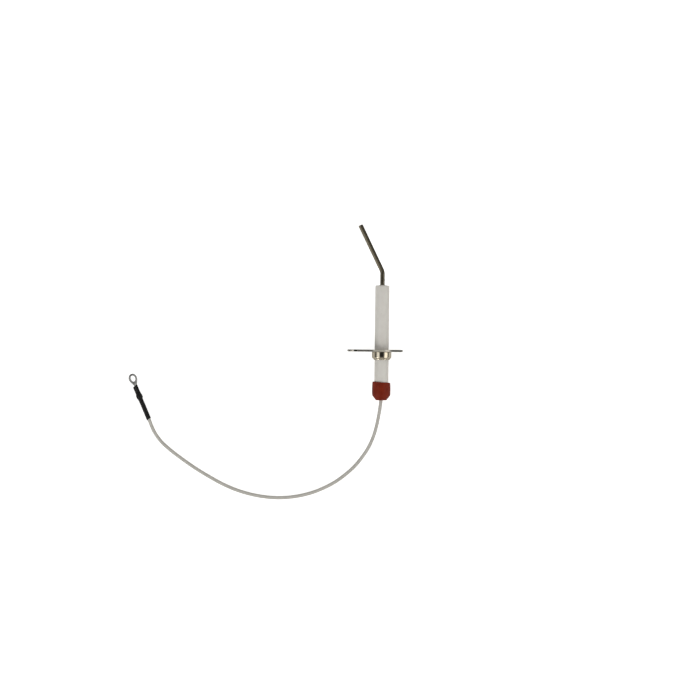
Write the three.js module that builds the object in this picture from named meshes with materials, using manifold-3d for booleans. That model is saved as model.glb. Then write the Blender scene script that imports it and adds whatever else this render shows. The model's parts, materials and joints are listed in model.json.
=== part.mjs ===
// Flame sensor probe with its lead, lying on its side on a flat surface.
// Millimetres. +X runs along the mounting plate, +Y along the probe towards its tip, +Z up.
// The origin is on the plate's lower long edge, under the probe's axis.
import * as THREE from 'three';
import { mergeVertices } from 'three/addons/utils/BufferGeometryUtils.js';
import Module from 'manifold-3d';

// The room left between pieces that touch on the real part.
const GAP = 0.15;

// Mounting plate: it stands on one long edge, so half its width is the height of the axis.
const PLATE_WIDTH = 18;
const PLATE_THICKNESS = 1.5;
const PLATE_LEFT = -24.2;
const PLATE_RIGHT = 14.8;
const PLATE_CORNER_RADIUS = 1;
const SLOT_CENTRE_X = -19.6;
const SLOT_WIDTH = 4.5;
const AXIS_HEIGHT = PLATE_WIDTH / 2;

// Electrode rod.
const ROD_DIAMETER = 3.2;
const ROD_LEAD_END_Y = -30;
const BEND_Y = 55.8;
const BEND_RADIUS = 7;
const BEND_ANGLE = THREE.MathUtils.degToRad(28);
const BENT_LENGTH = 37.3;
const ROD_STEPS = 60;
const ROD_SIDES = 12;

// Ceramic tube, with a pocket for cement at its tip end.
const CERAMIC_DIAMETER = 10;
const CERAMIC_LEAD_END_Y = -27;
const CERAMIC_TIP_END_Y = 46.15;
const CERAMIC_BORE = 3.6;
const CERAMIC_EDGE = 0.6;
const CEMENT_POCKET_DIAMETER = 5.6;
const CEMENT_POCKET_DEPTH = 2;
const CEMENT_STAND = 0.35;
const CEMENT_CROWN = 0.7;

// Clamp collar, crimped on to the ceramic under the plate.
const COLLAR_DIAMETER = 13.8;
const COLLAR_WALL = 0.65;
const COLLAR_TOP_Y = -0.85;
const COLLAR_SHOULDER_Y = -4.8;
const COLLAR_LIP_Y = -6.4;
const COLLAR_LIP_DIAMETER = 11.1;
const COLLAR_EDGE = 0.3;
const SPIGOT_DIAMETER = 11.7;
const PLATE_HOLE_DIAMETER = 12.2;

// Silicone boot over the lead end of the ceramic, with room inside for a washer and a ferrule.
const BOOT_DIAMETER = 12.8;
const BOOT_OPEN_Y = -22.1;
const BOOT_CONE_Y = -31.4;
const BOOT_END_Y = -35;
const BOOT_END_DIAMETER = 7.4;
const BOOT_EDGE = 0.5;
const BOOT_SHOULDER = 1.3;
const WASHER_ROOM_DIAMETER = 8.4;
const WASHER_ROOM_Y = -28;
const FERRULE_ROOM_DIAMETER = 5.4;
const FERRULE_ROOM_Y = -33.3;

// Push-on washer that grips the rod, and crimp ferrule that joins the rod to the lead's conductor.
const WASHER_DIAMETER = 7.2;
const WASHER_THICKNESS = 0.5;
const FERRULE_DIAMETER = 4.6;
const FERRULE_ROD_END_Y = -28.2;
const FERRULE_STEP_Y = -30.2;
const FERRULE_LEAD_END_Y = -32.4;

// Lead: an insulation tube and a plain round conductor.
const LEAD_DIAMETER = 2.5;
const LEAD_BORE = 1.5;
const CONDUCTOR_DIAMETER = 1;
const INSULATION_START_Y = -32.8;
const CONDUCTOR_START_Y = -30.6;
const LEAD_SIDES = 8;
const LEAD_STEPS = 52;

// Ring terminal and its heat-shrink sleeve: distances run from the sleeve's lead end.
const SLEEVE_START = new THREE.Vector3(-164.4, -50.4, 2.3);
const SLEEVE_TURN = THREE.MathUtils.degToRad(23.4);
const SLEEVE_LENGTH = 25.5;
const SLEEVE_WALL = 0.28;
const SLEEVE_DIAMETER = 3.25;
const SLEEVE_BULGE_DIAMETER = 4.5;
const SLEEVE_NECK_DIAMETER = 3.7;
const SWELL_START = 15.1;
const BULGE_START = 16.7;
const BULGE_END = 18.3;
const SWELL_END = 20.1;
const LEAD_END_IN_SLEEVE = 15.6;
const BARREL_START = 16.3;
const BARREL_END = 19.4;
const BARREL_DIAMETER = 3.2;
const BARREL_BORE = 1.7;
const TONGUE_START = 18.8;
const CONDUCTOR_END = 18.5;
const TERMINAL_THICKNESS = 0.7;
const TERMINAL_ROLL = THREE.MathUtils.degToRad(-32);
const NECK_LEFT = new THREE.Vector2(-0.5, 26);
const NECK_RIGHT = new THREE.Vector2(1.42, 25.4);
const RING_CENTRE = new THREE.Vector2(0.82, 30.95);
const RING_DIAMETER = 7.1;
const RING_HOLE_DIAMETER = 4.4;

// The lead's route from the boot to the sleeve: down to the surface, then round in one loose curve.
const LEAD_ROUTE = [
  [-0.2, -35.5, 9.0],
  [-0.7, -40.0, 8.8],
  [-1.4, -44.7, 8.4],
  [-3.0, -53.0, 7.1],
  [-5.3, -61.1, 5.5],
  [-8.8, -69.0, 3.9],
  [-13.4, -76.1, 2.5],
  [-18.8, -82.7, 1.65],
  [-25.1, -88.4, 1.35],
  [-32.0, -93.5, 1.3],
  [-39.5, -97.6, 1.3],
  [-47.4, -100.9, 1.3],
  [-55.6, -103.2, 1.3],
  [-63.9, -104.6, 1.3],
  [-72.5, -105.1, 1.3],
  [-81.1, -104.6, 1.3],
  [-89.5, -103.3, 1.3],
  [-97.8, -101.2, 1.3],
  [-105.8, -98.4, 1.3],
  [-113.5, -94.9, 1.3],
  [-121.0, -90.8, 1.3],
  [-128.4, -86.5, 1.3],
  [-135.5, -81.9, 1.3],
  [-142.5, -77.0, 1.3],
  [-149.3, -71.8, 1.45],
  [-155.6, -66.1, 1.8],
  [-160.6, -59.1, 2.2],
];

// Segments round a full circle, and steps round a corner.
const ROUND = 36;
const SMALL_ROUND = 24;
const CORNER_STEPS = 4;

const MATERIALS = {
  electrode: { color: 0x5a5446, roughness: 0.5, metalness: 0.9 },
  ceramic: { color: 0xdedad2, roughness: 0.4, metalness: 0 },
  plate: { color: 0x9d9a90, roughness: 0.35, metalness: 1 },
  collar: { color: 0xe6e0d0, roughness: 0.12, metalness: 1 },
  cement: { color: 0xd8d4c8, roughness: 0.9, metalness: 0 },
  gasket: { color: 0x6e6b66, roughness: 0.9, metalness: 0 },
  silicone: { color: 0x8c2a18, roughness: 0.55, metalness: 0 },
  insulation: { color: 0xc4c2b8, roughness: 0.5, metalness: 0 },
  copper: { color: 0xb87a4b, roughness: 0.4, metalness: 1 },
  shrink: { color: 0x161616, roughness: 0.45, metalness: 0 },
  tin: { color: 0x8f9092, roughness: 0.35, metalness: 1 },
  spring_steel: { color: 0x84868a, roughness: 0.35, metalness: 1 },
};

const wasm = await Module();
wasm.setup();

function piece(name, geometry, finish) {
  const mesh = new THREE.Mesh(geometry, new THREE.MeshStandardMaterial(MATERIALS[finish]));
  mesh.name = name;
  return mesh;
}

// A corner of a section is [radius, y], or [radius, y, cut] where it's rounded off that far along each side.
function roundedSection(corners) {
  return corners.flatMap(([x, y, cut = 0], i) => {
    const here = new THREE.Vector2(x, y);
    if (cut === 0) return [here];
    const neighbours = [corners.at(i - 1), corners[(i + 1) % corners.length]];
    const [start, end] = neighbours.map(([otherX, otherY]) => (
      new THREE.Vector2(otherX, otherY).sub(here).setLength(cut).add(here)
    ));
    return new THREE.QuadraticBezierCurve(start, here, end).getPoints(CORNER_STEPS);
  });
}

// A ring of revolution about Y. The corners run anticlockwise round its section.
function turnedRing(corners, segments) {
  const section = roundedSection(corners);
  return new THREE.LatheGeometry([...section, section[0]], segments);
}

// A washer-like ring between two radii and two heights.
function plainRing(inner, outer, low, high, segments) {
  return turnedRing([[inner, low], [outer, low], [outer, high], [inner, high]], segments);
}

function circleShape(radius, sides) {
  const corners = [];
  for (let i = 0; i < sides; i += 1) {
    const angle = (2 * Math.PI * i) / sides;
    corners.push(new THREE.Vector2(radius * Math.cos(angle), radius * Math.sin(angle)));
  }
  return new THREE.Shape(corners);
}

function toManifold(geometry) {
  const bare = geometry.clone();
  bare.deleteAttribute('normal');
  bare.deleteAttribute('uv');
  const merged = mergeVertices(bare);
  return new wasm.Manifold(new wasm.Mesh({
    numProp: 3,
    vertProperties: new Float32Array(merged.attributes.position.array),
    triVerts: new Uint32Array(merged.index.array),
  }));
}

function fromManifold(solid) {
  const mesh = solid.getMesh();
  const geometry = new THREE.BufferGeometry();
  geometry.setAttribute('position', new THREE.BufferAttribute(mesh.vertProperties, 3));
  geometry.setIndex(new THREE.BufferAttribute(mesh.triVerts, 1));
  geometry.computeVertexNormals();
  return geometry;
}

// The rod's bend leans down far enough for the tip's lower rim to touch the surface.
function bentDirection() {
  const sideways = BENT_LENGTH * Math.sin(BEND_ANGLE);
  const radius = ROD_DIAMETER / 2;
  let drop = AXIS_HEIGHT - radius;
  for (let round = 0; round < 4; round += 1) {
    drop = AXIS_HEIGHT - radius * Math.sqrt(1 - (drop / BENT_LENGTH) ** 2);
  }
  const across = Math.sqrt(sideways ** 2 - drop ** 2);
  return new THREE.Vector3(-across, BENT_LENGTH * Math.cos(BEND_ANGLE), -drop).divideScalar(BENT_LENGTH);
}

function electrodeRod() {
  const corner = new THREE.Vector3(0, BEND_Y, 0);
  const setback = BEND_RADIUS * Math.tan(BEND_ANGLE / 2);
  const direction = bentDirection();
  const bendStart = new THREE.Vector3(0, BEND_Y - setback, 0);
  const bendEnd = corner.clone().addScaledVector(direction, setback);
  const tip = corner.clone().addScaledVector(direction, BENT_LENGTH);
  const extrudePath = new THREE.CurvePath();
  extrudePath.add(new THREE.LineCurve3(new THREE.Vector3(0, ROD_LEAD_END_Y, 0), bendStart));
  extrudePath.add(new THREE.QuadraticBezierCurve3(bendStart, corner, bendEnd));
  extrudePath.add(new THREE.LineCurve3(bendEnd, tip));
  const section = circleShape(ROD_DIAMETER / 2, ROD_SIDES);
  return new THREE.ExtrudeGeometry(section, { steps: ROD_STEPS, bevelEnabled: false, extrudePath });
}

function ceramicTube() {
  const outer = CERAMIC_DIAMETER / 2;
  const bore = CERAMIC_BORE / 2;
  const pocket = CEMENT_POCKET_DIAMETER / 2;
  const pocketFloor = CERAMIC_TIP_END_Y - CEMENT_POCKET_DEPTH;
  return turnedRing([
    [bore, CERAMIC_LEAD_END_Y],
    [outer, CERAMIC_LEAD_END_Y, CERAMIC_EDGE],
    [outer, CERAMIC_TIP_END_Y, CERAMIC_EDGE],
    [pocket, CERAMIC_TIP_END_Y],
    [pocket, pocketFloor],
    [bore, pocketFloor],
  ], ROUND);
}

// Cement round the rod, in the pocket at the tip end of the ceramic, crowned at the top.
function tipCement() {
  const inner = ROD_DIAMETER / 2 + GAP;
  const outer = CEMENT_POCKET_DIAMETER / 2 - GAP;
  const floor = CERAMIC_TIP_END_Y - CEMENT_POCKET_DEPTH + GAP;
  return turnedRing([
    [inner, floor],
    [outer, floor],
    [outer, CERAMIC_TIP_END_Y],
    [(inner + outer) / 2, CERAMIC_TIP_END_Y + CEMENT_CROWN * CEMENT_STAND],
    [inner, CERAMIC_TIP_END_Y + CEMENT_STAND],
  ], SMALL_ROUND);
}

// Outline in the plate's own plane, with its middle at the probe's axis. The slot is open at one long edge.
function plateOutline() {
  const half = PLATE_WIDTH / 2;
  const radius = PLATE_CORNER_RADIUS;
  const slotHalf = SLOT_WIDTH / 2;
  const left = PLATE_LEFT + radius;
  const right = PLATE_RIGHT - radius;
  const outline = new THREE.Shape();
  outline.moveTo(left, -half);
  outline.absarc(right, radius - half, radius, -Math.PI / 2, 0);
  outline.absarc(right, half - radius, radius, 0, Math.PI / 2);
  outline.lineTo(SLOT_CENTRE_X + slotHalf, half);
  outline.absarc(SLOT_CENTRE_X, 0, slotHalf, 0, -Math.PI, true);
  outline.lineTo(SLOT_CENTRE_X - slotHalf, half);
  outline.absarc(left, half - radius, radius, Math.PI / 2, Math.PI);
  outline.absarc(left, radius - half, radius, Math.PI, 1.5 * Math.PI);
  outline.holes.push(circleShape(PLATE_HOLE_DIAMETER / 2, ROUND));
  return outline;
}

function mountingPlate() {
  const settings = { depth: PLATE_THICKNESS, bevelEnabled: false, curveSegments: 10 };
  const geometry = new THREE.ExtrudeGeometry(plateOutline(), settings);
  geometry.rotateX(Math.PI / 2);
  geometry.translate(0, PLATE_THICKNESS / 2, 0);
  return geometry;
}

// The spigot fills the plate's hole and ends just under the plate's tip-side face.
function clampCollar() {
  const outer = COLLAR_DIAMETER / 2;
  const inner = CERAMIC_DIAMETER / 2 + GAP;
  const spigotTop = PLATE_THICKNESS / 2 - GAP;
  const ledge = COLLAR_TOP_Y - COLLAR_WALL;
  return turnedRing([
    [inner, COLLAR_LIP_Y],
    [COLLAR_LIP_DIAMETER / 2, COLLAR_LIP_Y],
    [outer, COLLAR_SHOULDER_Y],
    [outer, COLLAR_TOP_Y, COLLAR_EDGE],
    [SPIGOT_DIAMETER / 2, COLLAR_TOP_Y],
    [SPIGOT_DIAMETER / 2, spigotTop],
    [inner, spigotTop],
    [inner, ledge],
    [outer - COLLAR_WALL, ledge],
    [outer - COLLAR_WALL, COLLAR_SHOULDER_Y],
    [inner, COLLAR_LIP_Y + COLLAR_WALL],
  ], ROUND);
}

// Packing ring that fills the room between the ceramic and the collar's wall.
function clampGasket() {
  const inner = CERAMIC_DIAMETER / 2 + GAP;
  const outer = COLLAR_DIAMETER / 2 - COLLAR_WALL - GAP;
  return plainRing(inner, outer, COLLAR_SHOULDER_Y + GAP, COLLAR_TOP_Y - COLLAR_WALL - GAP, ROUND);
}

function siliconeBoot() {
  const outer = BOOT_DIAMETER / 2;
  const seat = CERAMIC_DIAMETER / 2 + GAP;
  const seatFloor = CERAMIC_LEAD_END_Y - GAP;
  const leadHole = LEAD_DIAMETER / 2 + GAP;
  return turnedRing([
    [leadHole, BOOT_END_Y],
    [BOOT_END_DIAMETER / 2, BOOT_END_Y, BOOT_EDGE],
    [outer, BOOT_CONE_Y, BOOT_SHOULDER],
    [outer, BOOT_OPEN_Y, BOOT_EDGE],
    [seat, BOOT_OPEN_Y],
    [seat, seatFloor],
    [WASHER_ROOM_DIAMETER / 2, seatFloor],
    [WASHER_ROOM_DIAMETER / 2, WASHER_ROOM_Y],
    [FERRULE_ROOM_DIAMETER / 2, WASHER_ROOM_Y],
    [FERRULE_ROOM_DIAMETER / 2, FERRULE_ROOM_Y],
    [leadHole, FERRULE_ROOM_Y],
  ], ROUND);
}

// It bears on the ceramic's lead end.
function retainingWasher() {
  const top = CERAMIC_LEAD_END_Y - GAP;
  const bore = ROD_DIAMETER / 2 + GAP;
  return plainRing(bore, WASHER_DIAMETER / 2, top - WASHER_THICKNESS, top, SMALL_ROUND);
}

// A wide bore for the rod and a narrow one for the conductor.
function spliceFerrule() {
  const outer = FERRULE_DIAMETER / 2;
  const rodBore = ROD_DIAMETER / 2 + GAP;
  const conductorBore = CONDUCTOR_DIAMETER / 2 + GAP;
  return turnedRing([
    [conductorBore, FERRULE_LEAD_END_Y],
    [outer, FERRULE_LEAD_END_Y],
    [outer, FERRULE_ROD_END_Y],
    [rodBore, FERRULE_ROD_END_Y],
    [rodBore, FERRULE_STEP_Y],
    [conductorBore, FERRULE_STEP_Y],
  ], SMALL_ROUND);
}

function onAxis(y) {
  return new THREE.Vector3(0, y, AXIS_HEIGHT);
}

function alongSleeve(distance) {
  const direction = new THREE.Vector3(-Math.sin(SLEEVE_TURN), Math.cos(SLEEVE_TURN), 0);
  return SLEEVE_START.clone().addScaledVector(direction, distance);
}

// Extrudes a section along the lead's route, between more points at either end.
function alongLead(section, before, after) {
  const route = LEAD_ROUTE.map(([x, y, z]) => new THREE.Vector3(x, y, z));
  const extrudePath = new THREE.CatmullRomCurve3([...before, ...route, alongSleeve(0), ...after]);
  return new THREE.ExtrudeGeometry(section, { steps: LEAD_STEPS, bevelEnabled: false, extrudePath });
}

function leadInsulation() {
  const section = circleShape(LEAD_DIAMETER / 2, LEAD_SIDES);
  section.holes.push(circleShape(LEAD_BORE / 2, LEAD_SIDES));
  return alongLead(section, [onAxis(INSULATION_START_Y)], [alongSleeve(LEAD_END_IN_SLEEVE)]);
}

function leadConductor() {
  const before = [onAxis(CONDUCTOR_START_Y), onAxis(INSULATION_START_Y)];
  const after = [alongSleeve(LEAD_END_IN_SLEEVE), alongSleeve(CONDUCTOR_END)];
  return alongLead(circleShape(CONDUCTOR_DIAMETER / 2, LEAD_SIDES), before, after);
}

// Shrunk tight over the lead, swollen over the crimp barrel, closer again over the neck.
function heatShrinkSleeve() {
  const stations = [
    [SLEEVE_DIAMETER / 2, 0],
    [SLEEVE_DIAMETER / 2, SWELL_START],
    [SLEEVE_BULGE_DIAMETER / 2, BULGE_START],
    [SLEEVE_BULGE_DIAMETER / 2, BULGE_END],
    [SLEEVE_NECK_DIAMETER / 2, SWELL_END],
    [SLEEVE_NECK_DIAMETER / 2, SLEEVE_LENGTH],
  ];
  const inside = stations.map(([radius, y]) => [radius - SLEEVE_WALL, y]).reverse();
  return turnedRing([...stations, ...inside], SMALL_ROUND);
}

// Where a straight edge from a point meets the ring's outside without a corner.
function tangentAngle(point, side) {
  const offset = point.clone().sub(RING_CENTRE);
  return offset.angle() + side * Math.acos(RING_DIAMETER / 2 / offset.length());
}

function tongueShape() {
  const start = tangentAngle(NECK_RIGHT, 1);
  const end = tangentAngle(NECK_LEFT, -1);
  const shape = new THREE.Shape();
  shape.moveTo(NECK_LEFT.x, TONGUE_START);
  shape.lineTo(NECK_RIGHT.x, TONGUE_START);
  shape.lineTo(NECK_RIGHT.x, NECK_RIGHT.y);
  shape.absarc(RING_CENTRE.x, RING_CENTRE.y, RING_DIAMETER / 2, start, end);
  shape.lineTo(NECK_LEFT.x, NECK_LEFT.y);
  const hole = new THREE.Path();
  hole.absarc(RING_CENTRE.x, RING_CENTRE.y, RING_HOLE_DIAMETER / 2, 0, 2 * Math.PI);
  shape.holes.push(hole);
  return shape;
}

// One stamped piece: the flat ring and its tongue, joined to the crimp barrel.
function ringTerminal() {
  const settings = { depth: TERMINAL_THICKNESS, bevelEnabled: false, curveSegments: 14 };
  const tongue = new THREE.ExtrudeGeometry(tongueShape(), settings);
  tongue.translate(0, 0, -TERMINAL_THICKNESS / 2);
  const barrel = plainRing(BARREL_BORE / 2, BARREL_DIAMETER / 2, BARREL_START, BARREL_END, SMALL_ROUND);
  return fromManifold(toManifold(tongue).add(toManifold(barrel)));
}

const probe = new THREE.Group();
probe.position.z = AXIS_HEIGHT;
probe.add(piece('electrode_rod', electrodeRod(), 'electrode'));
probe.add(piece('ceramic_tube', ceramicTube(), 'ceramic'));
probe.add(piece('cement_fillet', tipCement(), 'cement'));
probe.add(piece('mounting_plate', mountingPlate(), 'plate'));
probe.add(piece('clamp_collar', clampCollar(), 'collar'));
probe.add(piece('clamp_gasket', clampGasket(), 'gasket'));
probe.add(piece('boot', siliconeBoot(), 'silicone'));
probe.add(piece('retaining_washer', retainingWasher(), 'spring_steel'));
probe.add(piece('splice_ferrule', spliceFerrule(), 'tin'));

const terminal = piece('ring_terminal', ringTerminal(), 'tin');
terminal.rotation.y = TERMINAL_ROLL;

const leadEnd = new THREE.Group();
leadEnd.position.copy(SLEEVE_START);
leadEnd.rotation.z = SLEEVE_TURN;
leadEnd.add(piece('heat_shrink_sleeve', heatShrinkSleeve(), 'shrink'));
leadEnd.add(terminal);

const flameSensorProbe = new THREE.Group();
flameSensorProbe.add(probe);
flameSensorProbe.add(leadEnd);
flameSensorProbe.add(piece('lead_insulation', leadInsulation(), 'insulation'));
flameSensorProbe.add(piece('lead_conductor', leadConductor(), 'copper'));

export default flameSensorProbe;
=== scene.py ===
"""Flame sensor probe with its lead, lying on a pale studio floor and seen from straight above.

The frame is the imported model's: +X along the mounting plate, +Y along the probe towards its tip, +Z up.
Shapes are worked out in millimetres and become metres once, when a mesh is made.
"""

import json
import math

import bmesh
import bpy
from mathutils import Matrix, Vector, noise

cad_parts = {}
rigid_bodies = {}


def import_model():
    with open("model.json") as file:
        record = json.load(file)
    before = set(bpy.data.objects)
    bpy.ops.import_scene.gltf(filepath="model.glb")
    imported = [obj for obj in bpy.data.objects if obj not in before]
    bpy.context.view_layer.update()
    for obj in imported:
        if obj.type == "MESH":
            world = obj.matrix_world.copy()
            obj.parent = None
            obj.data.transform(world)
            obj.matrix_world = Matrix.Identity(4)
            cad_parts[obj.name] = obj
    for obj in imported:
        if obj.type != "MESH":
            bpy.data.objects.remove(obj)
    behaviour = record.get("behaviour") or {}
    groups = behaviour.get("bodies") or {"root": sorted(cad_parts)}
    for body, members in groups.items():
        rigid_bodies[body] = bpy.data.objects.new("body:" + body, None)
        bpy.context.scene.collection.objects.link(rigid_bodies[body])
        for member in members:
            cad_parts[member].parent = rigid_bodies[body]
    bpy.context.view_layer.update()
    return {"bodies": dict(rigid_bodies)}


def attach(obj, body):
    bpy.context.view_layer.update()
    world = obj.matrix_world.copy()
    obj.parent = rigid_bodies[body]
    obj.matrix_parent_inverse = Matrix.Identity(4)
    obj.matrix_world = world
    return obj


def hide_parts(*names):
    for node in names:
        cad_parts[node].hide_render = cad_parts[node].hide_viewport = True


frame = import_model()

MM = 0.001
BODY = "root" if "root" in frame["bodies"] else next(iter(frame["bodies"]))
UNBENT = "unbent_place"
BLACK = (0.0, 0.0, 0.0, 1.0)
WHITE = (1.0, 1.0, 1.0, 1.0)

# Camera: how much of the table the picture spans, and where its middle is, in millimetres.
VIEW_WIDTH = 494.7
VIEW_CENTRE = (-22.4, 0.3)
VIEW_ROLL = 0.65
LENS = 135.0
SENSOR = 36.0

# Studio: how much the floor glows to the camera and how much on to the probe, the tent's grey against the
# sine of the height above the horizon, and each softbox's place and size in metres, brightness and colour.
FLOOR_GLOW_SEEN = 0.78
FLOOR_GLOW_CAST = 0.1
TENT_BANDS = ((0.0, 0.05), (0.16, 0.06), (0.26, 0.27), (0.90, 0.27), (0.95, 0.03))
SOFTBOXES = (
    ("left_softbox", (-1.1, -0.45, 1.32), (1.5, 0.95), 0.9, (0.97, 0.985, 1.0)),
    ("right_softbox", (1.34, -0.5, 1.11), (2.0, 1.25), 1.35, (1.0, 0.985, 0.955)),
    ("front_softbox", (-1.3, -0.95, 0.92), (1.0, 0.9), 2.6, (1.0, 0.99, 0.97)),
    ("back_softbox", (0.35, 1.5, 1.2), (1.5, 1.0), 0.9, (1.0, 0.99, 0.97)),
)

# Probe.
AXIS_HEIGHT = 9.0
PLATE_WIDTH = 18.0
PLATE_THICKNESS = 1.5
PLATE_LEFT = -24.2
PLATE_RIGHT = 14.8
PLATE_CORNER = 1.0
PLATE_BEVEL = 0.16
PLATE_HOLE_RADIUS = 6.1
SLOT_CENTRE = -19.6
SLOT_WIDTH = 4.5
SLOT_MOUTH = 0.3
ROD_RADIUS = 1.6
ROD_LEAD_END = -30.0
BEND_Y = 55.8
BEND_RADIUS = 7.0
BEND_ANGLE = math.radians(28)
BENT_LENGTH = 37.3
CERAMIC_RADIUS = 5.0
CERAMIC_LOW = -27.0
CERAMIC_HIGH = 46.15
CERAMIC_BORE = 1.8
POCKET_RADIUS = 2.8
POCKET_DEPTH = 2.0
COLLAR_RADIUS = 6.9
COLLAR_WALL = 0.65
COLLAR_TOP = -0.85
COLLAR_SHOULDER = -4.8
COLLAR_LIP = -6.4
COLLAR_RIM_RADIUS = 5.7
COLLAR_RIM = 0.6
SPIGOT_RADIUS = 5.85
CRIMP_START = -4.5
CRIMP_DEPTH = 0.45
CRIMP_BULGE = 0.16
CRIMPS = 7
BOOT_RADIUS = 6.37
BOOT_OPEN = -22.15
BOOT_CONE = -31.5
BOOT_END = -35.0
BOOT_END_RADIUS = 3.7
BOOT_CAVITY_RADIUS = 4.2
BOOT_CAVITY_END = -28.0
BOOT_NECK_RADIUS = 2.7
BOOT_NECK_END = -33.3
BOOT_ASKEW = 0.067
WASHER_RADIUS = 3.6
WASHER_BORE = 1.66
WASHER_THICKNESS = 0.42
WASHER_PRONGS = 6
FERRULE_RADIUS = 2.3
FERRULE_BORE = 0.62
FERRULE_HIGH = -28.2
FERRULE_LOW = -32.4

# Painted highlights and painted shade on the plate's cut edges: where, how far each is full and reaches, its
# colour, and how rough it is.
PAINTED_EDGE_LIGHT = (
    # Painted highlight along the top edge round the collar.
    ((0.0, 0.0, PLATE_WIDTH), 5.5, 8.5, (222, 218, 204), 0.6),
    # Painted highlight on the top edge, right of the collar.
    ((4.0, -0.4, PLATE_WIDTH), 1.2, 2.6, (255, 250, 240), 0.85),
    # Painted highlight in the left side of the slot.
    ((SLOT_CENTRE - 1.0, 0.0, AXIS_HEIGHT - 2.0), 0.8, 1.3, (255, 252, 245), 0.85),
    # Painted shade in the right side of the slot.
    ((SLOT_CENTRE + 1.6, 0.0, AXIS_HEIGHT - 1.5), 1.5, 2.0, (66, 63, 54), 0.0),
)

# Lead and its ring terminal: distances along the sleeve run from its lead end.
LEAD_RADIUS = 1.25
LEAD_BORE = 0.75
LEAD_SPACING = 1.2
SLEEVE_START = Vector((-164.4, -50.4, 2.3))
SLEEVE_TURN = math.radians(23.4)
SLEEVE_LENGTH = 25.5
SLEEVE_RADIUS = 1.63
SLEEVE_BULGE_RADIUS = 2.25
SLEEVE_NECK_RADIUS = 1.85
SLEEVE_SWELLS = (14.9, 16.9)
SLEEVE_CLOSES = (18.0, 20.2)
SLEEVE_FLATTENS = (19.0, 21.2)
SLEEVE_ASKEW = 0.26
SLEEVE_WIDENED = 0.10
SLEEVE_THINNED = 0.36
LEAD_END_IN_SLEEVE = 15.6
BARREL_START = 16.3
BARREL_END = 19.4
BARREL_RADIUS = 1.6
BARREL_BORE = 0.85
BARREL_DENT = 0.22
BARREL_DENT_MIDDLE = 17.8
TONGUE_START = 18.8
CONDUCTOR_END = 18.5
CONDUCTOR_START = Vector((0.0, -30.6, AXIS_HEIGHT))
STRAND_RADIUS = 0.155
STRAND_SPREAD = 0.32
STRAND_PITCH = 14.0
TERMINAL_THICKNESS = 0.7
TERMINAL_ROLL = math.radians(-32)
NECK_LEFT = Vector((-0.5, 26.0))
NECK_RIGHT = Vector((1.42, 25.4))
RING_CENTRE = Vector((0.82, 30.95))
RING_RADIUS = 3.55
RING_HOLE_RADIUS = 2.2
LEAD_START = Vector((0.0, -32.8, AXIS_HEIGHT))

# The lead's centre line from the boot to the sleeve, down from the probe's axis and along the floor.
LEAD_ROUTE = [
    (-0.2, -35.5, 9.0),
    (-0.7, -40.0, 8.8),
    (-1.4, -44.7, 8.4),
    (-3.0, -53.0, 7.1),
    (-5.3, -61.1, 5.5),
    (-8.8, -69.0, 3.9),
    (-13.4, -76.1, 2.5),
    (-18.8, -82.7, 1.65),
    (-25.1, -88.4, 1.35),
    (-32.0, -93.5, 1.3),
    (-39.5, -97.6, 1.3),
    (-47.4, -100.9, 1.3),
    (-55.6, -103.2, 1.3),
    (-63.9, -104.6, 1.3),
    (-72.5, -105.1, 1.3),
    (-81.1, -104.6, 1.3),
    (-89.5, -103.3, 1.3),
    (-97.8, -101.2, 1.3),
    (-105.8, -98.4, 1.3),
    (-113.5, -94.9, 1.3),
    (-121.0, -90.8, 1.3),
    (-128.4, -86.5, 1.3),
    (-135.5, -81.9, 1.3),
    (-142.5, -77.0, 1.3),
    (-149.3, -71.8, 1.45),
    (-155.6, -66.1, 1.8),
    (-160.6, -59.1, 2.2),
]


# ---------------------------------------------------------------- camera


def add_camera():
    """Straight above the probe, with a long lens."""
    data = bpy.data.cameras.new("camera")
    data.lens = LENS
    data.sensor_width = SENSOR
    camera = bpy.data.objects.new("camera", data)
    distance = VIEW_WIDTH * LENS / SENSOR
    camera.location = Vector((*VIEW_CENTRE, AXIS_HEIGHT + distance)) * MM
    camera.rotation_euler.z = math.radians(VIEW_ROLL)
    bpy.context.scene.collection.objects.link(camera)
    bpy.context.scene.camera = camera


# ---------------------------------------------------------------- mesh helpers


def smooth_step(low, high, value):
    """0 up to low, 1 from high on, and an S-shaped rise between them."""
    share = min(1.0, max(0.0, (value - low) / (high - low)))
    return share * share * (3 - 2 * share)


def hump(value, middle, reach):
    """1 at the middle, and smoothly down to nothing about two reaches away."""
    return math.exp(-(((value - middle) / reach) ** 2))


def ripple(point, size, seed=0.0):
    """Smooth noise from -1 to 1 whose lumps are about size across."""
    return noise.noise(Vector(point) / size + Vector((seed, -seed, 2 * seed)))


def rounded(corners, steps=5):
    """The points of a closed section whose corners are (x, y, fillet radius)."""
    points = []
    for i, (x, y, fillet) in enumerate(corners):
        here = Vector((x, y))
        if fillet == 0:
            points.append(here)
            continue
        before = (Vector(corners[i - 1][:2]) - here).normalized()
        after = (Vector(corners[(i + 1) % len(corners)][:2]) - here).normalized()
        half = before.angle(after) / 2
        centre = here + (before + after).normalized() * fillet / math.sin(half)
        start = here + before * fillet / math.tan(half) - centre
        end = here + after * fillet / math.tan(half) - centre
        sweep = start.angle_signed(end)
        for k in range(steps + 1):
            turn = Matrix.Rotation(-sweep * k / steps, 2)
            points.append(centre + turn @ start)
    return points


def divided(section, extra):
    """A closed section with extra(here, after) more points on each stretch, so that it can be shaped."""
    points = []
    for here, after in zip(section, [*section[1:], section[0]]):
        points.append(here)
        count = extra(here, after)
        points += [here.lerp(after, (k + 1) / (count + 1)) for k in range(count)]
    return points


def on_wall(radius, spacing):
    """For divided: points at about that spacing along the straight wall of that radius."""

    def extra(here, after):
        straight = abs(here[0] - radius) < 0.01 and abs(after[0] - radius) < 0.01
        return int((after - here).length / spacing) if straight else 0

    return extra


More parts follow.
